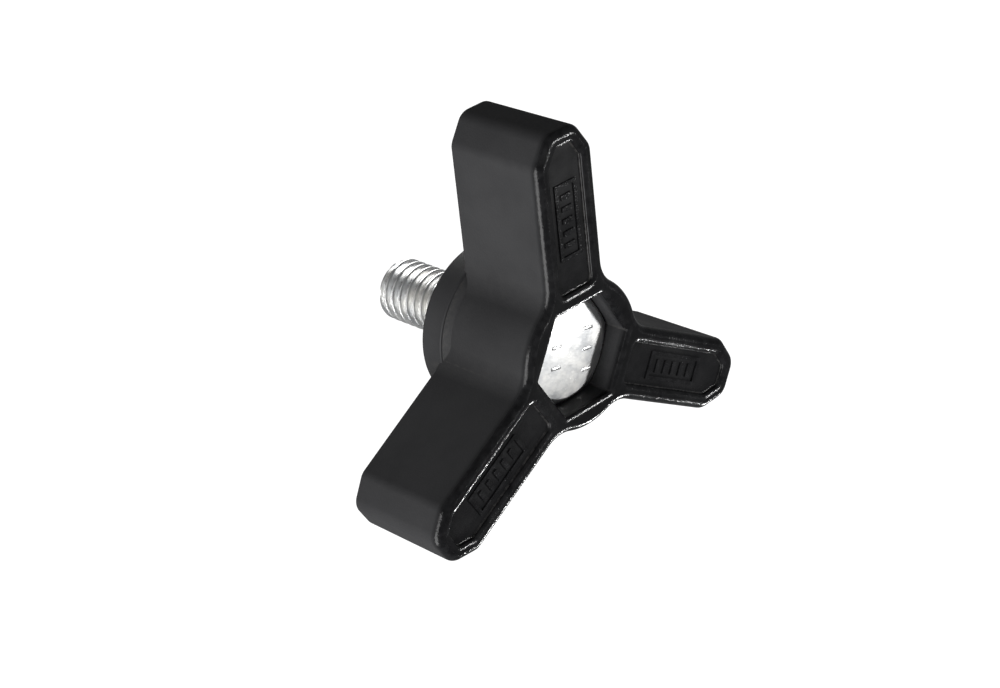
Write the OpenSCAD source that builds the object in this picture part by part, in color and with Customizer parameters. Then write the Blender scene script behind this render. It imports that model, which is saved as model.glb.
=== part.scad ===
// Three-wing clamping knob with a hexagon head screw seated in its front pocket.
// Z is the axis of the knob. The rear clamping face is at z = 0, the front face looks along +Z
// and the stud stands out along -Z. The first wing points along +Y. The stud is a plain cylinder
// over its thread crests, so that a mating hole can be measured against it.

/* [Wings] */
// Number of wings around the hub
wing_count = 3; // [2:1:4]
// Distance from the axis to the flat end of a wing
wing_reach = 28.8; // [22:0.1:40]
// Width of a wing
wing_width = 9.1; // [7:0.1:10]
// Height of the wings' rear face above the clamping face
wing_back = 2.5; // [1:0.1:6]
// Width of the flat end of a wing, between its two corner cuts
tip_flat = 4.6; // [2:0.1:6]
// Length of a corner cut, along the wing
tip_cut = 3.5; // [1.5:0.1:6]
// Radius that softens the corners of a wing's end
tip_round = 1.6; // [0.4:0.1:2]

/* [Hub] */
// Height of the front face above the clamping face
front_height = 16.8; // [13:0.1:24]
// Diameter of the hub, between the wings
hub_d = 18.8; // [17.6:0.1:24]
// Radius of the hollow where a wing meets the hub
root_fillet = 4.4; // [1:0.1:5]
// Diameter of the collar that carries the clamping face
collar_d = 20.3; // [16:0.1:24]
// Height of the collar's straight side, with the bevel at its foot
collar_h = 3.0; // [1.5:0.1:6]
// Size of the bevels on the collar's two edges
collar_bevel = 0.2; // [0.1:0.1:0.8]

/* [Front face] */
// Width of the raised rim around the sunken panel of a wing
rim_width = 1.9; // [1.2:0.1:2.2]
// Radius that softens the corners of the sunken panel's outer end
panel_round = 0.8; // [0.2:0.1:1]
// Depth of the sunken panel
panel_depth = 0.6; // [0.2:0.1:1.5]
// Width of the raised lip between a panel and the hexagon pocket
lip_width = 2.0; // [1:0.1:4]
// Distance from the axis to the middle of the raised frame on a panel
frame_middle = 17.5; // [14:0.1:20]
// Length of the raised frame
frame_length = 9.4; // [6:0.1:12]
// Width of the raised frame
frame_width = 3.4; // [2:0.1:4]
// Width of the raised lines that make up the frame and its bars
frame_line = 0.35; // [0.2:0.05:0.6]
// Height of the raised lines above the panel
frame_height = 0.25; // [0.1:0.05:0.5]
// Number of plain bars inside the frame
frame_bars = 5; // [0:1:9]

/* [Screw] */
// Diameter over the thread crests, for M8
thread_d = 7.8; // [7.4:0.01:9.95]
// Length of the stud that stands out below the clamping face
stud_length = 15; // [8:0.5:40]
// Diameter of the rolled shank inside the knob, between the head and the stud
shank_d = 7.2; // [5:0.1:7.7]
// Size of the bevel at the end of the stud
end_bevel = 0.9; // [0.4:0.1:1.5]
// Width across the flats of the hexagon head
head_flats = 13; // [11:0.1:14]
// Height of the hexagon head
head_height = 5.3; // [4:0.1:7.5]
// Diameter of the circle where the head's bevel meets its top face
head_face_d = 12.2; // [9:0.1:13]
// Depth of the head's top face below the front face of the knob
head_recess = 2.8; // [0.5:0.1:4]
// Height of the plain marks on the head's top face
mark_height = 0.12; // [0.05:0.01:0.3]
// Number of marks in the row near the edge of the head
edge_marks = 3; // [0:1:3]
// Number of marks in the row near the middle of the head
middle_marks = 2; // [0:1:3]

/* [Fits] */
// Gap on each side between the head's flats and the walls of the pocket
head_gap = 0.1; // [0.02:0.01:0.2]
// Gap all round between the thread crests and the bore
bore_gap = 0.05; // [0.02:0.01:0.1]
// Size of the bevel around the mouth of the pocket
mouth_bevel = 0.35; // [0.1:0.05:0.6]

/* [Hidden] */

$fn = 96;
wing_step = 360 / wing_count;
first_wing = 90;
cut_over = 1;

// Heights of the screw's faces, which follow from the knob
head_top = front_height - head_recess;
head_seat = head_top - head_height;
stud_end = -stud_length;

// The hexagon's flats face the wings
flats_to_corners = 1 / cos(30);
pocket_flats = head_flats + 2 * head_gap;
bore_d = thread_d + 2 * bore_gap;

wing_half = wing_width / 2;
hub_r = hub_d / 2;

// Centre of the hollow between the hub and a wing, along and across the wing. Its arc runs a
// little way into both, so that the surfaces cross cleanly.
root_sink = 0.02;
root_centre = [
    sqrt(pow(hub_r + root_fillet - root_sink, 2) - pow(wing_half + root_fillet - root_sink, 2)),
    wing_half + root_fillet - root_sink
];

// Direction that a corner cut faces, and its distance from the axis
cut_facing = atan2(tip_cut, wing_half - tip_flat / 2);
cut_line = (wing_reach - tip_cut) * cos(cut_facing) + wing_half * sin(cut_facing);
corner_steps = 4;

// Plain marks on the head: size of each, distance between them, and where the two rows lie
mark_size = [1.5, 0.4];
mark_pitch = 2.6;
mark_turn = -11;
edge_row = [3.4, -0.6];
middle_row = [-1.8, -0.6];

// Points of an arc around c, from one angle to another
function arc(c, r, from, to, steps) = [
    for (i = [0 : steps])
        let (a = from + (to - from) * i / steps)
        [c[0] + r * cos(a), c[1] + r * sin(a)]
];

function across(c) = [c[0], -c[1]];

// Centres of the arcs that soften a wing's end on one side, moved inwards by inset
function inner_centre(inset) = [
    (cut_line - inset - (wing_half - inset) * sin(cut_facing)) / cos(cut_facing),
    wing_half - inset
];
function outer_centre(inset) = [
    wing_reach - inset,
    (cut_line - inset - (wing_reach - inset) * cos(cut_facing)) / sin(cut_facing)
];

// The end of a wing from one side round to the other, moved inwards by inset, with corners
// softened to the radius r
function wing_end(inset, r) = let (
    inner = inner_centre(inset + r),
    outer = outer_centre(inset + r)
) concat(
    arc(across(inner), r, -90, -cut_facing, corner_steps),
    arc(across(outer), r, -cut_facing, 0, corner_steps),
    arc(outer, r, 0, cut_facing, corner_steps),
    arc(inner, r, cut_facing, 90, corner_steps)
);

module hexagon(flats, height) {
    cylinder(h = height, d = flats * flats_to_corners, $fn = 6);
}

module on_each_wing() {
    for (k = [0 : wing_count - 1])
        rotate([0, 0, first_wing + k * wing_step]) children();
}

// Filling between the hub and one side of a wing, with its round hollow
module root_web() {
    difference() {
        polygon([[0, 0], [root_centre[0], 0], root_centre]);
        translate(root_centre) circle(r = root_fillet);
    }
}

module wing_plan() {
    polygon(concat([[0, wing_half], [0, -wing_half]], wing_end(0, tip_round)));
    root_web();
    mirror([0, 1]) root_web();
}

module wings() {
    translate([0, 0, wing_back])
        linear_extrude(height = front_height - wing_back) {
            circle(r = hub_r);
            on_each_wing() wing_plan();
        }
}

module collar() {
    edge_d = collar_d - 2 * collar_bevel;
    cylinder(h = collar_bevel, d1 = edge_d, d2 = collar_d);
    translate([0, 0, collar_bevel]) cylinder(h = collar_h - collar_bevel, d = collar_d);
    translate([0, 0, collar_h]) cylinder(h = collar_bevel, d1 = collar_d, d2 = edge_d);
}

// The sunken panel of a wing, which stops short of the pocket
module panel_cut() {
    start = pocket_flats / 2 + lip_width;
    side = wing_half - rim_width;
    translate([0, 0, front_height - panel_depth])
        linear_extrude(height = panel_depth + cut_over)
            polygon(concat([[start, side], [start, -side]], wing_end(rim_width, panel_round)));
}

// The raised frame on a panel, with plain bars across it, rooted in the wing
module panel_frame() {
    inner = [frame_length - 2 * frame_line, frame_width - 2 * frame_line];
    bar_pitch = inner[0] / (frame_bars + 1);
    translate([frame_middle, 0, front_height - panel_depth - cut_over])
        linear_extrude(height = cut_over + frame_height) {
            difference() {
                square([frame_length, frame_width], center = true);
                square(inner, center = true);
            }
            if (frame_bars > 0)
                for (i = [1 : frame_bars])
                    translate([i * bar_pitch - inner[0] / 2, 0])
                        square([frame_line, frame_width / 2], center = true);
        }
}

// Bore for the shank, hexagon pocket for the head, and the bevel at the pocket's mouth
module screw_space() {
    translate([0, 0, -cut_over]) cylinder(h = head_seat + 2 * cut_over, d = bore_d);
    translate([0, 0, head_seat])
        hexagon(pocket_flats, front_height - head_seat + cut_over);
    translate([0, 0, front_height - mouth_bevel])
        cylinder(
            h = mouth_bevel + cut_over,
            d1 = pocket_flats * flats_to_corners,
            d2 = (pocket_flats + 2 * (mouth_bevel + cut_over)) * flats_to_corners,
            $fn = 6
        );
}

module wing_body() {
    color([0.03, 0.03, 0.032]) {
        difference() {
            union() {
                wings();
                collar();
            }
            on_each_wing() panel_cut();
            screw_space();
        }
        on_each_wing() panel_frame();
    }
}

// Shank and stud, with the bevel at the stud's end
module shank() {
    translate([0, 0, stud_end])
        cylinder(h = end_bevel, d1 = thread_d - 2 * end_bevel, d2 = thread_d);
    translate([0, 0, stud_end + end_bevel])
        cylinder(h = stud_length - end_bevel, d = thread_d);
    cylinder(h = head_seat, d = shank_d);
}

// Hexagon head with its top corners turned away
module screw_head() {
    corner_d = head_flats * flats_to_corners;
    bevel_drop = (corner_d - head_face_d) / 2 * tan(30);
    translate([0, 0, head_seat])
        intersection() {
            hexagon(head_flats, head_height);
            union() {
                cylinder(h = head_height - bevel_drop, d = corner_d + cut_over);
                translate([0, 0, head_height - bevel_drop])
                    cylinder(h = bevel_drop, d1 = corner_d, d2 = head_face_d);
            }
        }
}

// A row of plain marks, rooted in the head
module mark_row(count, at) {
    if (count > 0)
        for (i = [0 : count - 1])
            translate([at[0], at[1] + (i - (count - 1) / 2) * mark_pitch, head_top - mark_height])
                linear_extrude(height = 2 * mark_height)
                    square(mark_size, center = true);
}

module hex_screw() {
    color([0.78, 0.78, 0.77]) {
        shank();
        screw_head();
        rotate([0, 0, mark_turn]) {
            mark_row(edge_marks, edge_row);
            mark_row(middle_marks, middle_row);
        }
    }
}

wing_body();
hex_screw();
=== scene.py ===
# %% [markdown]
# # A three-wing clamping screw
# This notebook gives a finished look to a small fastener: a black moulded knob with three wings, and
# the zinc-plated M8 screw that sits in its hexagon pocket. The CAD model fixes every size and place.
# Here each of its two parts gets a finer mesh, with rounded edges, mould draft and a real thread,
# and a material with the detail of the real finish.

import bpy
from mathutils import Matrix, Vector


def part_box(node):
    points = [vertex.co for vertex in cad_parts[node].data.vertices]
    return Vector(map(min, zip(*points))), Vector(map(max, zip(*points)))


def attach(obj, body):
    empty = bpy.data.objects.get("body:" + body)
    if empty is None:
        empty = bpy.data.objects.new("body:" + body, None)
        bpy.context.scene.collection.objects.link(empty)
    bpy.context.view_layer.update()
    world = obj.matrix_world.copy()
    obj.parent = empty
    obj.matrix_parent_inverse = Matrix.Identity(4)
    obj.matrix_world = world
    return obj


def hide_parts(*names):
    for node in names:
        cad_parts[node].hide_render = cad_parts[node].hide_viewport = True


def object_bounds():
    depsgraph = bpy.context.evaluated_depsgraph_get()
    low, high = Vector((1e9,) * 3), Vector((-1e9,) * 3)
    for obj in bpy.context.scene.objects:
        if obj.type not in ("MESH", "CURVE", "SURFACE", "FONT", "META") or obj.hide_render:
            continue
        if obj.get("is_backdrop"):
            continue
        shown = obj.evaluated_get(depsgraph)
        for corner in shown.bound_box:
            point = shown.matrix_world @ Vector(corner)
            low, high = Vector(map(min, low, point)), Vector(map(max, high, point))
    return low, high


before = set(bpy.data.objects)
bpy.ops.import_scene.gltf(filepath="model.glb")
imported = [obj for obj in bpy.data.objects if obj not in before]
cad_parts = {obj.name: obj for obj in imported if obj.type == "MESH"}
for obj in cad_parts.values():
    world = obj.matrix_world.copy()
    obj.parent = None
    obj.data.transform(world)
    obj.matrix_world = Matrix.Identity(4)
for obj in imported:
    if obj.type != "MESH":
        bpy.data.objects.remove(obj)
cad_low, cad_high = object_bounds()

# %% [markdown]
# The rest of the tools come with Python and Blender. Sizes are written in millimetres, as on a
# drawing, and multiplied by one factor where Blender wants metres.

# %% Tools of the trade
from math import atan2, cos, degrees, hypot, pi, radians, sin, sqrt, tan

import bmesh
import bpy
from mathutils import Euler, Matrix, Vector
from mathutils.geometry import delaunay_2d_cdt

mm = 0.001
scene = bpy.context.scene
print("Blender", bpy.app.version_string)

# %% [markdown]
# ## Camera first
# The knob is looked at from in front, above and to the left of its first wing, with a long lens, so
# that its wings keep their true proportions. Setting the camera before anything else means that
# every later choice can be judged in the picture that counts.

# %% Camera
camera_place = Vector((-192.7, 149.6, 213.9)) * mm
camera_turn = Euler((radians(-22.455), radians(-45.108), radians(-8.072)), "XYZ")
focal_length = 97.06

camera = bpy.data.objects.new("camera", bpy.data.cameras.new("camera"))
camera.data.lens = focal_length
camera.data.clip_start = 10 * mm
camera.data.clip_end = 20
camera.location = camera_place
camera.rotation_euler = camera_turn
scene.collection.objects.link(camera)
scene.camera = camera
print("camera is", round(camera_place.length / mm), "mm from the clamping face")

# %% [markdown]
# ## Sizes of the moulding
# Meshes this small are safest made in millimetres and shrunk to metres once they are finished, so
# all sizes from here on are in millimetres. What the CAD model knows is read from its boxes: how far
# a wing reaches, and how high the front face stands. The plan sizes are repeated, because a box
# can't tell them.

# %% Sizes of the knob
knob_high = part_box("wing_body")[1] / mm
front = knob_high.z
wing_reach = knob_high.y
wing_count = 3
wing_half = 4.55
wing_back = 2.5
hub_r = 9.4
root_r = 4.4
tip_flat_half = 2.3
tip_cut = 3.5
tip_r = 2.2
tip_least_r = 0.5
print("wings reach", round(wing_reach, 2), "mm, front face at", round(front, 2), "mm")

# %% [markdown]
# A moulding has no sharp edges and no upright walls. The front edges are the roundest, because
# fingers press there. The flanks lean in by less than a degree towards the back, so that the part
# comes out of its mould. The edges round the sunken panels and the pocket's mouth are flatter than
# a quarter circle, wider than they are deep.

# %% Roundings and draft of the knob
front_round = 1.0
back_round = 0.5
draft = radians(0.85)
rim_width = 1.9
panel_depth = 0.6
panel_start = 8.6
panel_corner = 0.8
panel_edge_round = 0.78
panel_foot_round = 0.15
edge_flatness = 0.45
pocket_half = 6.6
pocket_floor = 8.7
pocket_corner = 0.35
pocket_mouth_round = 0.75
pocket_foot_round = 0.2
collar_r = 10.15
collar_top = 3.2
collar_round = 0.2
collar_neck_r = 9.1
collar_neck = 4.05
bore_r = 3.95
bore_bevel = 0.3
print("flanks lean in by", round((front - wing_back) * tan(draft), 2), "mm over the wing's height")

# %% [markdown]
# ## Outlines from arcs and lines
# A wing's outline is straight sides, two cut corners softened by arcs, and a round hollow where it
# meets the hub. One function gives half of it at any distance inwards, because the rings of a
# rounded edge are just the same outline at different distances. The other half is its mirror image.

# %% Arcs and halves of outlines
hub_steps, root_steps, corner_steps = 8, 20, 8


def arc(centre, radius, start, end, steps):
    """Points round a circle from one angle to another, in degrees."""
    turns = [radians(start + (end - start) * i / steps) for i in range(steps + 1)]
    return [(centre[0] + radius * cos(a), centre[1] + radius * sin(a)) for a in turns]


def softened_tip(inset, radius):
    """The corner arcs of a wing's end, from its side to the middle of its flat end."""
    facing = atan2(tip_cut, wing_half - tip_flat_half)
    cut_line = (wing_reach - tip_cut) * cos(facing) + wing_half * sin(facing) - inset - radius
    side, end = wing_half - inset - radius, wing_reach - inset - radius
    inner = ((cut_line - side * sin(facing)) / cos(facing), side)
    outer = (end, (cut_line - end * cos(facing)) / sin(facing))
    return [
        *arc(inner, radius, 90, degrees(facing), corner_steps),
        *arc(outer, radius, degrees(facing), 0, corner_steps),
        (wing_reach - inset, 0),
    ]


def wing_half_outline(inset):
    """From the middle of the gap between two wings to the middle of the tip."""
    root = (sqrt((hub_r + root_r) ** 2 - (wing_half + root_r) ** 2), wing_half + root_r)
    meet = degrees(atan2(root[1], root[0]))
    gap_middle = 180 / wing_count
    return [
        *arc((0, 0), hub_r - inset, gap_middle, meet, hub_steps),
        *arc(root, root_r + inset, 180 + meet, 270, root_steps)[1:],
        *softened_tip(inset, max(tip_r - inset, tip_least_r)),
    ]


def panel_half_outline(inset):
    """From the middle of the lip round to the middle of the panel's outer end."""
    corner = panel_corner - inset
    start = (panel_start + inset + corner, wing_half - rim_width - inset - corner)
    return [
        (panel_start + inset, 0),
        *arc(start, corner, 180, 90, corner_steps),
        *softened_tip(rim_width + inset, corner),
    ]


def pocket_half_outline(inset):
    """From the middle of the gap between two wings to the middle of the flat facing a wing."""
    corner = pocket_corner - inset
    away = (pocket_half - pocket_corner) / cos(radians(30))
    centre = (away * cos(radians(30)), away * sin(radians(30)))
    flat = pocket_half - inset
    return [
        (flat * cos(radians(60)), flat * sin(radians(60))),
        *arc(centre, corner, 60, 0, corner_steps),
        (flat, 0),
    ]


print("a wing's half outline has", len(wing_half_outline(0)), "points")

# %% [markdown]
# ## One third of the knob
# The mesh is built as a skin of rings: each rounded edge is a few rings that follow a quarter
# circle, and each flat face is filled between the last rings. A narrow flat strip beside every
# rounding keeps the flat faces flat in shading. Modelling a block and bevelling it would be quicker,
# but a bevel breaks down where hollows, cut corners and pockets meet, and rings never do.

# %% Rings, strips and flat fills
strip = 0.04
round_steps = 8


def mirrored(half):
    """A half outline from (along, across) points, and its mirror image back to the start."""
    return half + [(x, -y) for x, y in reversed(half[:-1])]


def quarter(radius, bottom_up=False, flatness=1.0):
    """Steps round an edge, as (inset, drop) pairs, from the flat face to the wall."""
    turns = [pi / 2 * i / round_steps for i in range(round_steps + 1)]
    steps = [(radius * (1 - sin(a)), radius * flatness * (1 - cos(a))) for a in turns]
    return steps[::-1] if bottom_up else steps


class Skin:
    """A mesh that is built ring by ring, with the wing along +Y."""

    def __init__(self):
        self.bm = bmesh.new()

    def ring(self, outline, height):
        """New vertices along an outline, at one height."""
        return [self.bm.verts.new((-across, along, height)) for along, across in outline]

    def sew(self, rings, closed=False):
        """Quads between each ring and the next."""
        for low, high in zip(rings, rings[1:]):
            count = len(low)
            for i in range(count if closed else count - 1):
                j = (i + 1) % count
                self.bm.faces.new((low[i], low[j], high[j], high[i]))

    def fill(self, border, hole=()):
        """Triangles over a flat face inside a border, and outside a convex hole in it."""
        points = [*border, *hole]
        loops = [(0, len(border)), (len(border), len(hole))]
        edges = [(s + i, s + (i + 1) % n) for s, n in loops for i in range(n)]
        flat = [Vector((v.co.x, v.co.y)) for v in points]
        _, _, faces, origins, _, _ = delaunay_2d_cdt(flat, edges, [], 1, 1e-6)
        in_hole = set(range(len(border), len(points)))
        for face in faces:
            corners = [origins[i][0] for i in face]
            if not in_hole.issuperset(corners):
                self.bm.faces.new([points[i] for i in corners])

    def mesh(self, name):
        """The finished mesh, with its normals turned outwards where it is closed."""
        bmesh.ops.recalc_face_normals(self.bm, faces=self.bm.faces)
        made = bpy.data.meshes.new(name)
        self.bm.to_mesh(made)
        self.bm.free()
        return made


print("a rounding of", front_round, "mm takes", round_steps + 1, "rings")

# %% [markdown]
# The outer skin runs up the flanks from the back face to the front face. The sunken panel and the
# hexagon pocket each have their own rings: a rounded edge, a wall and a small round at the foot.
# The middle of the knob is left solid for now, with only a point on its axis.

# %% The third that carries one wing
def outer_rings(skin):
    """Flank of the wing, with its rounded back and front edges, from the back up."""
    back = [(inset, wing_back + drop) for inset, drop in quarter(back_round)]
    top = [(inset, front - drop) for inset, drop in quarter(front_round, bottom_up=True)]
    levels = [
        (back_round + strip, wing_back),
        *back,
        (0, wing_back + back_round + strip),
        (0, front - front_round - strip),
        *top,
        (front_round + strip, front),
    ]
    return [
        skin.ring(mirrored(wing_half_outline(inset + (front - z) * tan(draft))), z)
        for inset, z in levels
    ]


def recess_levels(edge_round, foot_round, floor):
    """Edge, wall and foot of a recess in the front face, from the edge down."""
    around = quarter(edge_round, flatness=edge_flatness)
    edge = [(-inset, front - drop) for inset, drop in around]
    foot = [(inset, floor + drop) for inset, drop in quarter(foot_round, bottom_up=True)]
    return [
        (-edge_round - strip, front),
        *edge,
        (0, front - edge_round * edge_flatness - strip),
        (0, floor + foot_round + strip),
        *foot,
        (foot_round + strip, floor),
    ]


def panel_rings(skin):
    levels = recess_levels(panel_edge_round, panel_foot_round, front - panel_depth)
    return [skin.ring(mirrored(panel_half_outline(inset))[:-1], z) for inset, z in levels]


def pocket_rings(skin):
    levels = recess_levels(pocket_mouth_round, pocket_foot_round, pocket_floor)
    return [skin.ring(mirrored(pocket_half_outline(inset)), z) for inset, z in levels]


def wing_third():
    """A third of the knob, open where it meets the other two thirds."""
    skin = Skin()
    outer, panel, pocket = outer_rings(skin), panel_rings(skin), pocket_rings(skin)
    skin.sew(outer)
    skin.sew(panel, closed=True)
    skin.sew(pocket)
    skin.fill([*outer[-1], *reversed(pocket[0])], hole=panel[0])
    skin.fill(panel[-1])
    for ring, height in ((outer[0], wing_back), (pocket[-1], pocket_floor)):
        skin.fill([*ring, skin.bm.verts.new((0, 0, height))])
    return skin.mesh("wing_third")


third = wing_third()
print("one third of the knob has", len(third.polygons), "faces")

# %% [markdown]
# ## Geometry Nodes, from a script
# What repeats is left to Geometry Nodes: a tree takes one shape and a count, places the copies and
# makes them real. These helpers add nodes by their type, wire them up, and turn a finished tree
# into a plain mesh. An input is set by its socket's identifier, before the object is first
# evaluated, because the name alone doesn't reach the modifier.

# %% Helpers for node trees
SOCKETS = {"f": "NodeSocketFloat", "i": "NodeSocketInt", "v": "NodeSocketVector",
           "g": "NodeSocketGeometry", "m": "NodeSocketMaterial"}


class Tree:
    """A node group, with short ways to add sockets, nodes and links."""

    def __init__(self, name, kind, inputs, outputs):
        self.group = bpy.data.node_groups.new(name, kind)
        for title, letter in inputs.items():
            self.socket(title, "INPUT", letter)
        for title, letter in outputs.items():
            self.socket(title, "OUTPUT", letter)
        self.given = self.group.nodes.new("NodeGroupInput").outputs
        self.result = self.group.nodes.new("NodeGroupOutput").inputs

    def socket(self, title, way, letter):
        self.group.interface.new_socket(name=title, in_out=way, socket_type=SOCKETS[letter])

    def add(self, kind, sockets=None, **settings):
        """A node of some kind, with its settings, and values or links for its inputs."""
        return add_node(self.group, kind, sockets, settings)

    def math(self, operation, *values):
        """One sum, and its result."""
        node = self.add("ShaderNodeMath", dict(enumerate(values)), operation=operation)
        return node.outputs[0]


def add_node(tree, kind, sockets, settings):
    """A node in a tree. A socket's value may be a constant, a link or a list of links."""
    node = tree.nodes.new(kind)
    for name, value in settings.items():
        setattr(node, name, value)
    for key, value in (sockets or {}).items():
        several = value if isinstance(value, list) else [value]
        for one in several:
            if isinstance(one, bpy.types.NodeSocket):
                tree.links.new(one, node.inputs[key])
            else:
                node.inputs[key].default_value = one
    return node


def grown(name, tree, values, start=None):
    """The plain mesh that a geometry tree makes, from a starting mesh and named values."""
    start = start or bpy.data.meshes.new(name + "_start")
    seed = bpy.data.objects.new(name + "_seed", start)
    scene.collection.objects.link(seed)
    modifier = seed.modifiers.new(name, "NODES")
    modifier.node_group = tree.group
    for item in tree.group.interface.items_tree:
        if item.in_out == "INPUT" and item.name in values:
            modifier[item.identifier] = values[item.name]
    evaluated = seed.evaluated_get(bpy.context.evaluated_depsgraph_get())
    made = bpy.data.meshes.new_from_object(evaluated)
    bpy.data.objects.remove(seed)
    made.name = name
    return made


print("socket kinds:", ", ".join(SOCKETS.values()))

# %% [markdown]
# ### Copies around the axis
# The wings, and later the raised frames on them, sit at even turns around the axis. A line of points
# that all lie on the axis carries the copies, and each is turned by its own index. Merging by
# distance then welds neighbouring thirds into one skin.

# %% Tree: copies around the axis
weld = 0.002


def around_the_axis():
    tree = Tree("around_the_axis", "GeometryNodeTree",
                {"Shape": "g", "Count": "i", "Weld": "f", "Material": "m"}, {"Shape": "g"})
    step = tree.math("DIVIDE", 2 * pi, tree.given["Count"])
    turn = tree.math("MULTIPLY", tree.add("GeometryNodeInputIndex").outputs[0], step)
    points = tree.add("GeometryNodeMeshLine",
                      {"Count": tree.given["Count"], "Offset": (0, 0, 0)})
    copies = tree.add("GeometryNodeInstanceOnPoints", {
        "Points": points.outputs["Mesh"],
        "Instance": tree.add("GeometryNodeGeometryToInstance", {0: tree.given["Shape"]}).outputs[0],
        "Rotation": tree.add("ShaderNodeCombineXYZ", {"Z": turn}).outputs[0],
    })
    real = tree.add("GeometryNodeRealizeInstances", {0: copies.outputs[0]})
    welded = tree.add("GeometryNodeMergeByDistance",
                      {"Geometry": real.outputs[0], "Distance": tree.given["Weld"]})
    coated = tree.add("GeometryNodeSetMaterial",
                      {"Geometry": welded.outputs[0], "Material": tree.given["Material"]})
    tree.group.links.new(coated.outputs[0], tree.result[0])
    return tree


axis_tree = around_the_axis()
three_wings = grown("three_wings", axis_tree, {"Count": wing_count, "Weld": weld}, third)
print("three wings have", len(three_wings.polygons), "faces")

# %% [markdown]
# ## Collar and bore
# The collar behind the wings is a plain turned shape, whose shoulder slopes up to the hub. It
# crosses the hollows between the wings in a curve that no simple ring follows. So it is joined to
# the wings as a solid, and the bore for the screw is cut through both. Everything that shows from
# the front was made before, so the cut can't spoil its rings.

# %% Turned solids, joined and cut
turn_steps = 144
cut_over = 1
bore_end = pocket_floor + cut_over


def turned(name, profile):
    """A solid of revolution from (radius, height) points, closed flat at both ends."""
    skin = Skin()
    rings = [skin.ring(arc((0, 0), r, 0, 360, turn_steps)[:-1], z) for r, z in profile]
    skin.sew(rings, closed=True)
    for ring in (rings[0], rings[-1]):
        skin.bm.faces.new(ring)
    return skin.mesh(name)


def combined(name, body, tool, operation):
    """The body joined with the tool, or cut by it."""
    made = []
    for mesh in (body, tool):
        made.append(bpy.data.objects.new(mesh.name, mesh))
        scene.collection.objects.link(made[-1])
    modifier = made[0].modifiers.new("combined", "BOOLEAN")
    modifier.operation, modifier.object, modifier.solver = operation, made[1], "EXACT"
    evaluated = made[0].evaluated_get(bpy.context.evaluated_depsgraph_get())
    result = bpy.data.meshes.new_from_object(evaluated)
    result.name = name
    for piece in made:
        bpy.data.objects.remove(piece)
    return result


foot = [(collar_r - inset, drop) for inset, drop in quarter(collar_round)]
shoulder = [(collar_r - inset, collar_top - drop) for inset, drop in quarter(collar_round, True)]
collar = turned("collar", [
    (collar_r - collar_round - strip, 0), *foot, (collar_r, collar_round + strip),
    (collar_r, collar_top - collar_round - strip), *shoulder,
    (collar_r - collar_round - strip, collar_top), (collar_neck_r, collar_neck),
])
bore = turned("bore", [
    (bore_r + bore_bevel + cut_over, -cut_over), (bore_r, bore_bevel), (bore_r, bore_end),
])
knob_mesh = combined("knob", combined("knob_blank", three_wings, collar, "UNION"), bore, "DIFFERENCE")
print("the knob has", len(knob_mesh.polygons), "faces")

# %% [markdown]
# ## Where edges wear and hollows fill
# Handling polishes the edges that stand out and leaves dust in the hollows. On the screw the hollows
# also carry painted shade. Both are measured from the mesh: the curvature across each edge, positive
# where it stands out. They are stored at each vertex, so that the materials can read them as
# attributes that follow the surface on every piece.

# %% Measure edges and hollows
full_wear = 1.2
least_gap = 0.05


def measure_edges(mesh):
    """Writes the attributes worn and hollow, from 0 to 1, at each vertex. Sizes in millimetres."""
    bm = bmesh.new()
    bm.from_mesh(mesh)
    bend = [0.0] * len(bm.verts)
    for edge in bm.edges:
        if len(edge.link_faces) != 2:
            continue
        one, other = edge.link_faces
        apart = (one.calc_center_median() - other.calc_center_median()).length
        curve = edge.calc_face_angle_signed(0) / max(apart, least_gap)
        for vertex in edge.verts:
            if abs(curve) > abs(bend[vertex.index]):
                bend[vertex.index] = curve
    bm.free()
    for name, sign in (("worn", 1), ("hollow", -1)):
        values = [min(max(sign * c / full_wear, 0), 1) for c in bend]
        mesh.attributes.new(name, "FLOAT", "POINT").data.foreach_set("value", values)


measure_edges(knob_mesh)
print("curvature stored for", len(knob_mesh.vertices), "vertices")

# %% [markdown]
# ## Raised frames on the panels
# Each sunken panel carries a raised frame with plain bars across it, a generic ornament. A small
# trapezoid section is swept round a rectangle for the frame and along a short line for a bar, and a
# line of points repeats the bar. The same tree as before would copy it round the axis, so this tree
# only makes one frame.

# %% Tree: one frame with bars
frame_middle = 17.5
frame_length, frame_width = 9.4, 3.4
frame_line, frame_height = 0.35, 0.16
frame_bars = 5
frame_root = 0.1
frame_lean = 0.16


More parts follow.
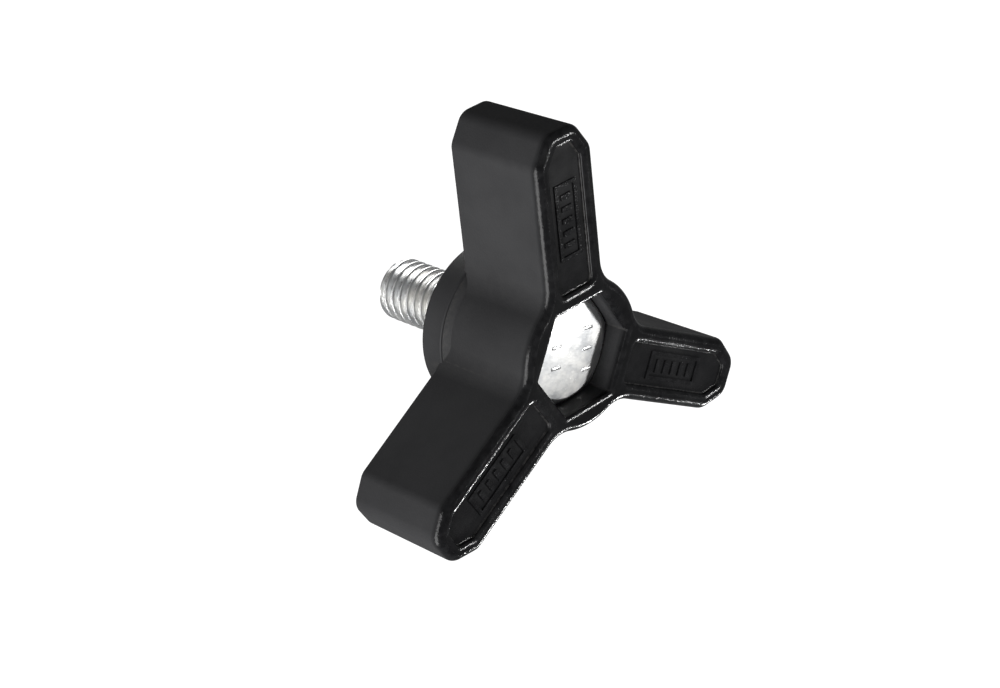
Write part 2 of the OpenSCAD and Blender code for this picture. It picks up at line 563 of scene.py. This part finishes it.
def barred_frame():
    tree = Tree("barred_frame", "GeometryNodeTree", {
        "Length": "f", "Width": "f", "Line": "f", "Height": "f", "Lean": "f",
        "Bars": "i", "Middle": "v", "Material": "m",
    }, {"Shape": "g"})
    given = tree.given
    foot_line = tree.math("ADD", given["Line"], tree.math("MULTIPLY", given["Lean"], 2))
    section = tree.add("GeometryNodeCurvePrimitiveQuadrilateral", {
        "Bottom Width": foot_line, "Top Width": given["Line"], "Height": given["Height"], "Offset": 0,
    }, mode="TRAPEZOID")
    middle_length = tree.math("SUBTRACT", given["Length"], given["Line"])
    middle_width = tree.math("SUBTRACT", given["Width"], given["Line"])
    rectangle = tree.add("GeometryNodeCurvePrimitiveQuadrilateral",
                         {"Width": middle_width, "Height": middle_length})
    rim = tree.add("GeometryNodeCurveToMesh",
                   {"Curve": rectangle.outputs[0], "Profile Curve": section.outputs[0]})
    half_bar = tree.math("DIVIDE", given["Width"], 4)
    bar_line = tree.add("GeometryNodeCurvePrimitiveLine", {
        "Start": tree.add("ShaderNodeCombineXYZ", {"X": tree.math("MULTIPLY", half_bar, -1)}).outputs[0],
        "End": tree.add("ShaderNodeCombineXYZ", {"X": half_bar}).outputs[0],
    })
    bar = tree.add("GeometryNodeCurveToMesh", {
        "Curve": bar_line.outputs[0], "Profile Curve": section.outputs[0], "Fill Caps": True})
    pitch = tree.math("DIVIDE", middle_length, tree.math("ADD", given["Bars"], 1))
    first = tree.math("SUBTRACT", pitch, tree.math("DIVIDE", middle_length, 2))
    places = tree.add("GeometryNodeMeshLine", {
        "Count": given["Bars"],
        "Start Location": tree.add("ShaderNodeCombineXYZ", {"Y": first}).outputs[0],
        "Offset": tree.add("ShaderNodeCombineXYZ", {"Y": pitch}).outputs[0],
    })
    bars = tree.add("GeometryNodeInstanceOnPoints",
                    {"Points": places.outputs["Mesh"], "Instance": bar.outputs[0]})
    both = tree.add("GeometryNodeJoinGeometry", {0: [rim.outputs[0], bars.outputs[0]]})
    placed = tree.add("GeometryNodeTransform", {
        "Geometry": both.outputs[0], "Translation": given["Middle"]})
    real = tree.add("GeometryNodeRealizeInstances", {0: placed.outputs[0]})
    coated = tree.add("GeometryNodeSetMaterial",
                      {"Geometry": real.outputs[0], "Material": given["Material"]})
    tree.group.links.new(coated.outputs[0], tree.result[0])
    return tree


section_middle = front - panel_depth + (frame_height - frame_root) / 2
one_frame = grown("one_frame", barred_frame(), {
    "Length": frame_length, "Width": frame_width, "Line": frame_line,
    "Height": frame_height + frame_root, "Lean": frame_lean, "Bars": frame_bars,
    "Middle": (0, frame_middle, section_middle),
})
print("one frame has", len(one_frame.polygons), "faces, from z",
      round(min(v.co.z for v in one_frame.vertices), 2), "to",
      round(max(v.co.z for v in one_frame.vertices), 2))

# %% [markdown]
# ## The screw
# The head is a hexagon whose top corners are turned away by a cone, which leaves the curved edges
# that every hexagon head has. Its outline is cut into short steps, and the height where the cone
# meets the side follows from each point's distance from the axis. The last edges are softened with
# a Bevel modifier, because a forged and tumbled head has no sharp ones.

# %% Sizes of the screw
screw_low, screw_high = (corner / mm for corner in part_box("hex_screw"))
mark_height = 0.12
head_top = screw_high.z - mark_height
head_seat = pocket_floor
head_half = 6.5
head_face_r = 6.1
head_cone = radians(30)
head_edge_round = 0.1
crest_r = 3.9
shank_r = 3.6
stud_end = screw_low.z
end_bevel = 0.9
print("head from", head_seat, "to", round(head_top, 2), "mm, stud ends at", round(stud_end, 2), "mm")

# %% [markdown]
# The head's outline and the neck below it are rings again, sewn together from the seat up to the
# face. Only the head is built by hand, because the stud below it follows a rule that a tree can
# repeat.

# %% Hexagon head
flat_steps = 12
shank_steps = 96
seat_round = 0.3
bevel_from = radians(25)


def hexagon(half):
    """Points along a hexagon whose flats face the wings and the gaps between them."""
    corner = half / cos(radians(30))
    points = []
    for k in range(6):
        here, there = (
            Vector((corner * cos(a), corner * sin(a)))
            for a in (radians(30 + 60 * k), radians(90 + 60 * k))
        )
        points += [tuple(here.lerp(there, i / flat_steps)) for i in range(flat_steps)]
    return points


def screw_head():
    """The head down to the shank, open where the shank goes on."""
    skin = Skin()
    plan = hexagon(head_half)
    face_edge = [(x * head_face_r / hypot(x, y), y * head_face_r / hypot(x, y)) for x, y in plan]
    low = skin.ring(plan, head_seat)
    high = skin.ring(plan, head_top)
    for vertex in high:
        vertex.co.z -= (hypot(vertex.co.x, vertex.co.y) - head_face_r) * tan(head_cone)
    face = skin.ring(face_edge, head_top)
    skin.sew([low, high, face], closed=True)
    skin.bm.faces.new(face)
    circle = arc((0, 0), 1, 0, 360, shank_steps)[:-1]
    neck = [
        skin.ring([(x * (shank_r + inset), y * (shank_r + inset)) for x, y in circle], head_seat - drop)
        for inset, drop in quarter(seat_round)
    ]
    skin.sew(neck, closed=True)
    skin.fill(low, hole=neck[0])
    return skin.mesh("screw_head")


def bevelled(mesh, width, steps):
    """A copy of the mesh with its sharp edges rounded."""
    piece = bpy.data.objects.new(mesh.name, mesh)
    scene.collection.objects.link(piece)
    modifier = piece.modifiers.new("bevelled", "BEVEL")
    modifier.width, modifier.segments, modifier.limit_method = width, steps, "ANGLE"
    modifier.angle_limit = bevel_from
    modifier.use_clamp_overlap = False
    evaluated = piece.evaluated_get(bpy.context.evaluated_depsgraph_get())
    made = bpy.data.meshes.new_from_object(evaluated)
    bpy.data.objects.remove(piece)
    return made


head_mesh = bevelled(screw_head(), head_edge_round, 3)
print("the head has", len(head_mesh.polygons), "faces")

# %% [markdown]
# ### A rolled thread
# A thread follows a rule: going once round climbs one pitch, and the distance from the axis depends
# only on where a point lies between two crests. So a flat grid is wrapped round the axis with its
# rows slanted by the pitch, and each point is moved to its radius. Rows that would pass the end of
# the stud or the start of the shank are squeezed flat there and welded. The tree then joins the
# head and an end cap with a shallow dimple, as thread rolling leaves it, and closes the skin.

# %% Tree: thread, shank and end
pitch = 1.25
thread_depth = 0.7
thread_top = 1.6
run_out = 1.3
crest_share, root_share = 0.12, 0.74
steps_per_turn = 16
dimple = 0.35


def rolled_thread():
    tree = Tree("rolled_thread", "GeometryNodeTree", {
        "Head": "g", "Crest": "f", "Shank": "f", "Depth": "f", "Pitch": "f", "Bottom": "f",
        "Top": "f", "Run Out": "f", "Bevel": "f", "Around": "i", "Steps": "i", "Dimple": "f",
        "Weld": "f", "Neck": "f", "Material": "m",
    }, {"Shape": "g"})
    given, math = tree.given, tree.math
    spacing = math("DIVIDE", given["Pitch"], given["Steps"])
    long_enough = math("ADD", math("SUBTRACT", given["Top"], given["Bottom"]),
                       math("MULTIPLY", given["Pitch"], 2))
    row_gaps = math("CEIL", math("DIVIDE", long_enough, spacing))
    grid = tree.add("GeometryNodeMeshGrid", {
        "Size X": 2 * pi,
        "Size Y": math("MULTIPLY", row_gaps, spacing),
        "Vertices X": math("ADD", given["Around"], 1),
        "Vertices Y": math("ADD", row_gaps, 1),
    })
    place = tree.add("ShaderNodeSeparateXYZ", {0: tree.add("GeometryNodeInputPosition").outputs[0]})
    angle = place.outputs["X"]
    middle = math("DIVIDE", math("ADD", given["Top"], given["Bottom"]), 2)
    climb = math("MULTIPLY", given["Pitch"], math("DIVIDE", angle, 2 * pi))
    slanted = math("ADD", math("ADD", place.outputs["Y"], middle), climb)
    height = math("MINIMUM", math("MAXIMUM", slanted, given["Bottom"]), given["Top"])

    phase = math("DIVIDE", math("SUBTRACT", height, climb), given["Pitch"])
    between = math("MULTIPLY", math("PINGPONG", phase, 0.5), 2)
    shares = {"Value": between, "From Min": crest_share, "From Max": root_share}
    flank = tree.add("ShaderNodeMapRange", shares).outputs[0]
    soft = tree.add("ShaderNodeMapRange", shares, interpolation_type="SMOOTHSTEP").outputs[0]
    sunk = math("MULTIPLY", math("DIVIDE", math("ADD", flank, soft), 2), given["Depth"])
    threaded = math("SUBTRACT", given["Crest"], sunk)
    left = math("MINIMUM", math("DIVIDE", math("SUBTRACT", given["Top"], height), given["Run Out"]), 1)
    faded = math("ADD", math("MULTIPLY", threaded, left),
                 math("MULTIPLY", given["Shank"], math("SUBTRACT", 1, left)))
    end_r = math("SUBTRACT", given["Crest"], given["Bevel"])
    bevel = math("ADD", end_r, math("SUBTRACT", height, given["Bottom"]))
    radius = math("MINIMUM", faded, bevel)
    wrapped = tree.add("ShaderNodeCombineXYZ", {
        "X": math("MULTIPLY", radius, math("COSINE", angle)),
        "Y": math("MULTIPLY", radius, math("SINE", angle)),
        "Z": height,
    })
    thread = tree.add("GeometryNodeSetPosition",
                      {"Geometry": grid.outputs["Mesh"], "Position": wrapped.outputs[0]})

    shank = tree.add("GeometryNodeMeshCylinder", {
        "Vertices": given["Around"], "Radius": given["Shank"],
        "Depth": math("SUBTRACT", given["Neck"], given["Top"]),
    }, fill_type="NONE")
    shank_middle = math("DIVIDE", math("ADD", given["Neck"], given["Top"]), 2)
    raised = tree.add("GeometryNodeTransform", {
        "Geometry": shank.outputs["Mesh"],
        "Translation": tree.add("ShaderNodeCombineXYZ", {"Z": shank_middle}).outputs[0],
    })
    cap = tree.add("GeometryNodeMeshCircle", {"Vertices": given["Around"], "Radius": end_r},
                   fill_type="TRIANGLE_FAN")
    cap_place = tree.add("ShaderNodeSeparateXYZ", {0: tree.add("GeometryNodeInputPosition").outputs[0]})
    out = tree.add("ShaderNodeCombineXYZ",
                   {"X": cap_place.outputs["X"], "Y": cap_place.outputs["Y"], "Z": 0.0})
    away = tree.add("ShaderNodeVectorMath", {0: out.outputs[0]}, operation="LENGTH").outputs["Value"]
    sinking = math("MULTIPLY", given["Dimple"], math("SUBTRACT", 1, math("DIVIDE", away, end_r)))
    end = tree.add("GeometryNodeSetPosition", {
        "Geometry": cap.outputs["Mesh"],
        "Offset": tree.add("ShaderNodeCombineXYZ",
                           {"Z": math("ADD", given["Bottom"], sinking)}).outputs[0],
    })
    joined = tree.add("GeometryNodeJoinGeometry", {
        0: [given["Head"], raised.outputs[0], thread.outputs[0], end.outputs[0]]})
    real = tree.add("GeometryNodeRealizeInstances", {0: joined.outputs[0]})
    welded = tree.add("GeometryNodeMergeByDistance",
                      {"Geometry": real.outputs[0], "Distance": given["Weld"]})
    coated = tree.add("GeometryNodeSetMaterial",
                      {"Geometry": welded.outputs[0], "Material": given["Material"]})
    tree.group.links.new(coated.outputs[0], tree.result[0])
    return tree


screw_mesh = grown("screw", rolled_thread(), {
    "Crest": crest_r, "Shank": shank_r, "Depth": thread_depth, "Pitch": pitch,
    "Bottom": stud_end, "Top": thread_top, "Run Out": run_out, "Bevel": end_bevel,
    "Around": shank_steps, "Steps": steps_per_turn, "Dimple": dimple, "Weld": weld,
    "Neck": head_seat - seat_round,
}, head_mesh)
print("the screw has", len(screw_mesh.polygons), "faces and",
      round((thread_top - stud_end) / pitch, 1), "turns of thread")

# %% [markdown]
# A closed mesh made of several shapes can end up with some faces turned inwards, so the screw's
# normals are made to agree once everything is welded. Only then are its edges measured.

# %% Agree the screw's normals
def outward(mesh):
    """Turns all faces of a closed mesh outwards."""
    bm = bmesh.new()
    bm.from_mesh(mesh)
    bmesh.ops.recalc_face_normals(bm, faces=bm.faces)
    bm.to_mesh(mesh)
    bm.free()


for mesh in (screw_mesh, one_frame):
    outward(mesh)
    measure_edges(mesh)
print("screw reaches from", round(min(v.co.z for v in screw_mesh.vertices), 2), "to",
      round(max(v.co.z for v in screw_mesh.vertices), 2), "mm")

# %% [markdown]
# ### Marks on the head
# Screw heads carry small raised marks. Here they are plain bars in two rows, which say nothing. One
# bar is made by hand with softened edges, and a tree repeats it along a row of points for each of
# the two rows.

# %% Tree: two rows of marks
mark_size = (1.5, 0.4)
mark_pitch = 2.6
mark_turn = radians(-11)
edge_row, middle_row = (3.4, -0.6), (-1.8, -0.6)
mark_round = 0.07
edge_marks, middle_marks = 3, 2


def plain_mark():
    """One bar, half of its height sunk into the head."""
    bm = bmesh.new()
    bmesh.ops.create_cube(bm, size=1)
    bmesh.ops.scale(bm, vec=(*mark_size, 2 * mark_height), verts=bm.verts)
    made = bpy.data.meshes.new("mark")
    bm.to_mesh(made)
    bm.free()
    return bevelled(made, mark_round, 2)


def mark_rows():
    tree = Tree("mark_rows", "GeometryNodeTree", {
        "Mark": "g", "Edge Marks": "i", "Middle Marks": "i", "Edge Row": "v", "Middle Row": "v",
        "Pitch": "f", "Turn": "f", "Height": "f", "Material": "m",
    }, {"Shape": "g"})
    given, math = tree.given, tree.math
    bars = []
    for count, row in (("Edge Marks", "Edge Row"), ("Middle Marks", "Middle Row")):
        back = math("MULTIPLY", math("SUBTRACT", given[count], 1), math("MULTIPLY", given["Pitch"], -0.5))
        start = tree.add("ShaderNodeVectorMath", {
            0: given[row], 1: tree.add("ShaderNodeCombineXYZ", {"Y": back}).outputs[0]},
            operation="ADD")
        line = tree.add("GeometryNodeMeshLine", {
            "Count": given[count], "Start Location": start.outputs[0],
            "Offset": tree.add("ShaderNodeCombineXYZ", {"Y": given["Pitch"]}).outputs[0],
        })
        bars.append(tree.add("GeometryNodeInstanceOnPoints",
                             {"Points": line.outputs[0], "Instance": given["Mark"]}).outputs[0])
    both = tree.add("GeometryNodeJoinGeometry", {0: bars})
    real = tree.add("GeometryNodeRealizeInstances", {0: both.outputs[0]})
    placed = tree.add("GeometryNodeTransform", {
        "Geometry": real.outputs[0],
        "Translation": tree.add("ShaderNodeCombineXYZ", {"Z": given["Height"]}).outputs[0],
        "Rotation": tree.add("ShaderNodeCombineXYZ", {"Z": given["Turn"]}).outputs[0],
    })
    coated = tree.add("GeometryNodeSetMaterial",
                      {"Geometry": placed.outputs[0], "Material": given["Material"]})
    tree.group.links.new(coated.outputs[0], tree.result[0])
    return tree


mark_mesh = grown("head_marks", mark_rows(), {
    "Edge Marks": edge_marks, "Middle Marks": middle_marks,
    "Edge Row": (*edge_row, 0), "Middle Row": (*middle_row, 0),
    "Pitch": mark_pitch, "Turn": mark_turn, "Height": head_top,
}, plain_mark())
outward(mark_mesh)
measure_edges(mark_mesh)
print(edge_marks + middle_marks, "marks have", len(mark_mesh.polygons), "faces")

# %% [markdown]
# ## Effects that both finishes share
# Plastic and zinc look nothing alike, but both have a fine grain, edges that handling has worn,
# hollows that hold dust, and faint smudges. On the zinc the hollows are also darkened as painted
# shade. Each effect is a shader node group, built once, that puts out a mask or a height. Each
# material then uses it with its own values.

# %% Shader groups: grain, wear, dust and painted shade, and smudges
def noise(tree, place, scale, detail, roughness=0.5):
    """A noise pattern's value."""
    node = tree.add("ShaderNodeTexNoise",
                    {"Vector": place, "Scale": scale, "Detail": detail, "Roughness": roughness})
    return node.outputs[0]


def stretched(tree, value, low, high):
    """The value spread from low and high to 0 and 1, with soft ends."""
    return tree.add("ShaderNodeMapRange", {"Value": value, "From Min": low, "From Max": high},
                    interpolation_type="SMOOTHSTEP").outputs[0]


def grain_group():
    """Fine grain of a surface: a height made of fine and coarser bumps."""
    tree = Tree("surface_grain", "ShaderNodeTree",
                {"Place": "v", "Scale": "f", "Coarse Share": "f"}, {"Height": "f"})
    fine = noise(tree, tree.given["Place"], tree.given["Scale"], 2)
    coarse = noise(tree, tree.given["Place"], tree.math("DIVIDE", tree.given["Scale"], 5), 2)
    share = tree.math("MULTIPLY", coarse, tree.given["Coarse Share"])
    tree.group.links.new(tree.math("ADD", fine, share), tree.result[0])
    return tree.group


def wear_group():
    """Worn edges: the edge mask, broken up into patches."""
    tree = Tree("worn_edges", "ShaderNodeTree",
                {"Place": "v", "Edge": "f", "Patch Scale": "f", "Amount": "f"}, {"Mask": "f"})
    patches = stretched(tree, noise(tree, tree.given["Place"], tree.given["Patch Scale"], 4), 0.35, 0.7)
    mask = tree.math("MULTIPLY", tree.math("MULTIPLY", patches, tree.given["Edge"]), tree.given["Amount"])
    tree.group.links.new(mask, tree.result[0])
    return tree.group


def dust_and_shade_group():
    """Dust, and painted shade where a finish darkens with it: strongest in hollows, with a thin uneven
    veil elsewhere.
    """
    tree = Tree("hollow_dust_and_shade", "ShaderNodeTree",
                {"Place": "v", "Hollow": "f", "Scale": "f", "Veil": "f"}, {"Mask": "f"})
    cloud = stretched(tree, noise(tree, tree.given["Place"], tree.given["Scale"], 5, 0.6), 0.3, 0.75)
    there = tree.math("MAXIMUM", tree.given["Hollow"], tree.given["Veil"])
    tree.group.links.new(tree.math("MULTIPLY", cloud, there), tree.result[0])
    return tree.group


def smudge_group():
    """Faint smudges, large and soft."""
    tree = Tree("smudges", "ShaderNodeTree", {"Place": "v", "Scale": "f"}, {"Mask": "f"})
    mask = stretched(tree, noise(tree, tree.given["Place"], tree.given["Scale"], 3, 0.65), 0.3, 0.7)
    tree.group.links.new(mask, tree.result[0])
    return tree.group


EFFECTS = {"grain": grain_group(), "wear": wear_group(), "dust_and_shade": dust_and_shade_group(), "smudges": smudge_group()}
print("shared effects:", ", ".join(EFFECTS))

# %% [markdown]
# ## Finishes
# A finish is one shader with everything that varies wired into it. This helper holds what both have
# in common: the piece's own coordinates, the stored edges and hollows, and the shared effects.

# %% A finish with its effects
class Finish:
    """A material in the making."""

    def __init__(self, name):
        self.material = bpy.data.materials.new(name)
        self.material.use_nodes = True
        self.group = self.material.node_tree
        self.shader = self.group.nodes["Principled BSDF"]
        self.place = self.add("ShaderNodeTexCoord").outputs["Object"]

    def add(self, kind, sockets=None, **settings):
        return add_node(self.group, kind, sockets, settings)

    def effect(self, name, **values):
        """The output of a shared effect, with its values."""
        sockets = {title.replace("_", " "): value for title, value in values.items()}
        sockets["Place"] = self.place
        return self.add("ShaderNodeGroup", sockets, node_tree=EFFECTS[name]).outputs[0]

    def stored(self, name):
        """A value stored on the mesh."""
        return self.add("ShaderNodeAttribute", attribute_name=name).outputs["Fac"]

    def blend(self, mask, low, high):
        """From one number to another by a mask."""
        return self.add("ShaderNodeMapRange", {"Value": mask, "To Min": low, "To Max": high}).outputs[0]

    def tint(self, mask, below, above):
        """From one colour to another by a mask. Each may be a colour or a link."""
        node = self.add("ShaderNodeMix", {"Factor": mask, 6: below, 7: above}, data_type="RGBA")
        return node.outputs[2]

    def sum(self, one, other):
        """Two values added."""
        return self.add("ShaderNodeMath", {0: one, 1: other}, operation="ADD").outputs[0]

    def bump(self, height, depth, strength):
        """A normal from a height, with its depth in millimetres at full strength."""
        sockets = {"Height": height, "Distance": depth * mm, "Strength": strength}
        return self.add("ShaderNodeBump", sockets).outputs[0]

    def into(self, **sockets):
        """Links or constants for the shader's own sockets."""
        for name, value in sockets.items():
            target = self.shader.inputs[name.replace("_", " ")]
            if isinstance(value, bpy.types.NodeSocket):
                self.group.links.new(value, target)
            else:
                target.default_value = value


print("a finish can use", len(EFFECTS), "effects")

# %% [markdown]
# ### Black moulded plastic
# Glass-filled nylon comes out of the mould with two surfaces. The flanks copy the mould's fine
# spark-eroded grain, and look satin and slightly grey. The front face and its edges copy a high-gloss
# insert, and are glossier. Their colour is also made far darker than the flanks': partly the deeper
# black of the glossy finish, partly painted shade on the face that turns away from the lights.
# Height along the axis tells the two apart. Edges on the front are rough enough to sparkle, and dust
# greys the corners of the panels.

# %% Black plastic
grain_ends, polish_starts = 1.3, 0.5
flank_black = ((0.021, 0.021, 0.022, 1), (0.025, 0.025, 0.026, 1))
# The front face's black is far darker than the flanks': partly its glossy finish, partly painted shade.
face_black_and_shade = ((0.003, 0.003, 0.0034, 1), (0.0048, 0.0048, 0.0052, 1))
rubbed_black = (0.02, 0.02, 0.021, 1)
dusty_black = (0.035, 0.034, 0.033, 1)
flank_roughness, face_roughness = 0.5, 0.17
flank_grain, face_grain, edge_grain = 0.57, 0.09, 1.0
grain_depth = 0.035
plastic_gloss = 0.12


def black_plastic():
    finish = Finish("black_plastic")
    height = finish.add("ShaderNodeSeparateXYZ", {0: finish.place}).outputs["Z"]
    polish_and_face_shade = finish.add("ShaderNodeMapRange", {
        "Value": height,
        "From Min": (front - grain_ends) * mm, "From Max": (front - polish_starts) * mm,
    }).outputs[0]
    smudges = finish.effect("smudges", Scale=110.0)
    wear = finish.effect("wear", Edge=finish.stored("worn"), Patch_Scale=900.0, Amount=0.35)
    dust_and_shade = finish.effect("dust_and_shade", Hollow=finish.stored("hollow"), Scale=1500.0, Veil=0.06)
    grain = finish.effect("grain", Scale=4200.0, Coarse_Share=0.6)

    # The darker front-face colour is partly painted shade on the face that turns away from the lights.
    flank, face = finish.tint(smudges, *flank_black), finish.tint(smudges, *face_black_and_shade)
    colour = finish.tint(polish_and_face_shade, flank, face)
    colour = finish.tint(wear, colour, rubbed_black)
    colour = finish.tint(dust_and_shade, colour, dusty_black)
    rough = finish.blend(polish_and_face_shade, flank_roughness, face_roughness)
    rough = finish.sum(rough, finish.blend(smudges, -0.03, 0.05))
    smooth_or_edge = finish.blend(finish.stored("worn"), face_grain, edge_grain)
    normal = finish.bump(grain, grain_depth, finish.blend(polish_and_face_shade, flank_grain, smooth_or_edge))
    finish.into(Base_Color=colour, Roughness=rough, Normal=normal, Specular_IOR_Level=plastic_gloss)
    return finish.material


plastic = black_plastic()
print("plastic uses", len(plastic.node_tree.nodes), "nodes")

# %% [markdown]
# ### Bright zinc plate
# Zinc plating is a metal, so its colour comes from its reflections. The bright clear finish is
# nearly neutral, with faint bluish and yellowish clouds. Screws are plated by the barrelful, so the
# surface is finely dented all over, and crests and edges are rubbed smooth. The roots of the thread
# and other hollows are painted much darker, as painted shade, and a thin veil of dull dust darkens
# the rest in patches.

# %% Zinc plate
clear_zinc = ((0.74, 0.755, 0.77, 1), (0.80, 0.79, 0.76, 1))
# A dark zinc colour, used as a thin dust veil and as painted shade in the thread roots.
dull_zinc_and_root_shade = (0.30, 0.30, 0.29, 1)
rubbed_zinc = (0.86, 0.86, 0.85, 1)
dent_depth, dent_strength = 0.012, 0.6


def zinc_plate():
    finish = Finish("zinc_plate")
    smudges = finish.effect("smudges", Scale=260.0)
    wear = finish.effect("wear", Edge=finish.stored("worn"), Patch_Scale=1400.0, Amount=0.8)
    dust_and_shade = finish.effect("dust_and_shade", Hollow=finish.stored("hollow"), Scale=2200.0, Veil=0.12)
    grain = finish.effect("grain", Scale=3600.0, Coarse_Share=1.5)

    colour = finish.tint(smudges, *clear_zinc)
    # Painted shade: the thread roots and other hollows are darkened, with a thin dust veil elsewhere.
    colour = finish.tint(dust_and_shade, colour, dull_zinc_and_root_shade)
    colour = finish.tint(wear, colour, rubbed_zinc)
    rough = finish.sum(finish.blend(smudges, 0.30, 0.40), finish.blend(wear, 0.0, -0.1))
    normal = finish.bump(grain, dent_depth, dent_strength)
    finish.into(Base_Color=colour, Roughness=rough, Normal=normal, Metallic=1.0)
    return finish.material


zinc = zinc_plate()
print("zinc uses", len(zinc.node_tree.nodes), "nodes")

# %% [markdown]
# ## Pieces on their bodies
# Each finished mesh is shrunk to metres, smoothed with crisp edges kept where faces meet at a real
# angle, and made into a piece that rides on its CAD body and stands for its CAD node.

# %% Pieces
crisp_angle = radians(32)


def piece(name, mesh, body, node, slot, material):
    """A finished mesh in metres, riding on its body and standing for its node."""
    mesh.transform(Matrix.Scale(mm, 4))
    mesh.materials.clear()
    mesh.materials.append(material)
    mesh.polygons.foreach_set("material_index", [0] * len(mesh.polygons))
    mesh.shade_smooth()
    mesh.set_sharp_from_angle(angle=crisp_angle)
    made = bpy.data.objects.new(name, mesh)
    scene.collection.objects.link(made)
    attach(made, body)
    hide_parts(node)
    print(name, "has", len(mesh.polygons), "faces on body", body)
    return made


frame_mesh = grown("panel_frames", axis_tree,
                   {"Count": wing_count, "Weld": weld, "Material": plastic}, one_frame)
piece("knob", knob_mesh, "knob", "wing_body", "black_plastic", plastic)
piece("panel_frames", frame_mesh, "knob", "wing_body", "black_plastic", plastic)
piece("screw", screw_mesh, "screw", "hex_screw", "zinc_steel", zinc)
piece("head_marks", mark_mesh, "screw", "hex_screw", "zinc_steel", zinc)

# %% [markdown]
# ## Floor
# The screw stands on a pale floor that glows softly, as a lit studio table does, so that shadows on
# it stay faint. It glows fully only where it is seen directly. In reflections and as a light it is
# dim, because a fully glowing floor would wash out the black plastic from below.

# %% Floor
floor_size = 3.0
floor_grey = (0.11, 0.11, 0.11, 1)
floor_roughness = 0.9
glow_unseen, glow_seen = 0.05, 0.98


def pale_floor():
    bm = bmesh.new()
    bmesh.ops.create_grid(bm, x_segments=1, y_segments=1, size=floor_size)
    mesh = bpy.data.meshes.new("floor")
    bm.to_mesh(mesh)
    bm.free()
    floor = bpy.data.objects.new("floor", mesh)
    floor.location.z = stud_end * mm
    scene.collection.objects.link(floor)
    material = bpy.data.materials.new("pale_floor")
    material.use_nodes = True
    shader = material.node_tree.nodes["Principled BSDF"]
    shader.inputs["Base Color"].default_value = floor_grey
    shader.inputs["Roughness"].default_value = floor_roughness
    shader.inputs["Specular IOR Level"].default_value = 0
    shader.inputs["Emission Color"].default_value = (1, 1, 1, 1)
    seen = add_node(material.node_tree, "ShaderNodeLightPath", None, {})
    glow = add_node(material.node_tree, "ShaderNodeMapRange", {
        "Value": seen.outputs["Is Camera Ray"], "To Min": glow_unseen, "To Max": glow_seen}, {})
    material.node_tree.links.new(glow.outputs[0], shader.inputs["Emission Strength"])
    mesh.materials.append(material)
    floor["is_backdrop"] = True
    return floor


floor = pale_floor()
print("floor at", round(floor.location.z / mm, 1), "mm")

# %% [markdown]
# ## Lights
# A broad soft light from the left is for the flanks. Two narrow bright strips stand in front, to
# either side of where the flat front face mirrors the camera's view, so the face itself stays dark
# while the rounded edges beside it catch one strip or the other. The stud mirrors the table, so two
# small lights lie on it: a bright one for the stud's upper side and a faint one for its middle.

# %% Lights
light_distance = 0.6
table_gap = 0.1
sky_tint, sky_strength = (0.95, 0.97, 1, 1), 0.20


def panel_light(name, direction, distance, size, power):
    """A rectangular light that looks at the knob from a direction."""
    light = bpy.data.lights.new(name, "AREA")
    light.shape, light.size, light.size_y = "RECTANGLE", *size
    light.energy = power
    lamp = bpy.data.objects.new(name, light)
    towards = Vector(direction).normalized()
    lamp.location = towards * distance
    lamp.rotation_euler = towards.to_track_quat("Z", "Y").to_euler()
    scene.collection.objects.link(lamp)
    return lamp


for name, direction, size, power in (
    ("left_softbox", (-0.94, -0.31, 0.05), (0.8, 0.65), 20.0),
    ("lower_strip", (0.592, -0.755, 0.28), (0.028, 0.08), 1.6),
    ("upper_strip", (0.57, -0.15, 0.80), (0.04, 0.06), 2.4),
):
    panel_light(name, direction, light_distance, size, power)
for name, place, size, power in (
    ("table_light", (8, 13, 0), (0.018, 0.018), 0.0062),
    ("table_fill", (-11, 1, 0), (0.014, 0.008), 0.00018),
):
    lamp = panel_light(name, (0, 0, -1), (-stud_end - table_gap) * mm, size, power)
    lamp.location += Vector(place) * mm
    lamp.visible_camera = False

world = bpy.data.worlds.new("studio")
world.use_nodes = True
sky = world.node_tree.nodes["Background"]
sky.inputs["Color"].default_value = sky_tint
sky.inputs["Strength"].default_value = sky_strength
scene.world = world
scene.view_settings.view_transform = "Standard"

# %% [markdown]
# ## Boxes, and the end
# The box of the finished pieces is printed beside the CAD model's box. The finished
# pieces have to stay inside the CAD model's box.

# %% Boxes, and the end
new_low, new_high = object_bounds()
boxes = {"cad": [list(cad_low), list(cad_high)], "visual": [list(new_low), list(new_high)]}
for title, (low, high) in boxes.items():
    print(title, [round(c / mm, 2) for c in low], [round(c / mm, 2) for c in high])
